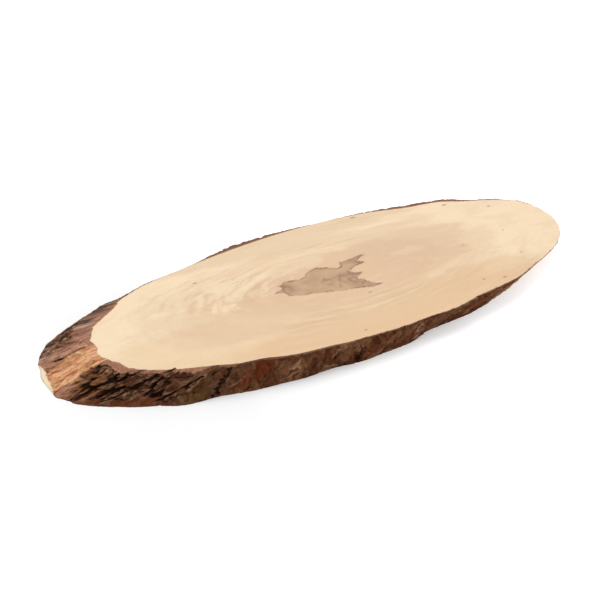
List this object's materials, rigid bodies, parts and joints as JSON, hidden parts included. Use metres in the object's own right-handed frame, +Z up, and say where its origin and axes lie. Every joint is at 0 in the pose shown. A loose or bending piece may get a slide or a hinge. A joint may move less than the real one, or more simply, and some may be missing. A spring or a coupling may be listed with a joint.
{
  "type": "wood slice",
  "caption": "Long oval slice of a tree trunk, sawn on the slant, with its bark on: a board to serve, display or paint on.",
  "frame": {"origin": "middle of the slice's box, on the lower sawn face that it lies on", "axes": "+X along the long axis of the oval, towards the end where the upper face reaches furthest out and the bark leans out over the table; +Y across the oval; +Z up through the thickness, square to both sawn faces"},
  "size_m": [0.511, 0.2028, 0.02],
  "materials": {
    "wood": "pale sawn and sanded wood, bare, with rough brown bark round its edge"
  },
  "bodies": {
    "root": {"wood_slice": "wood"}
  },
  "joints": []
}
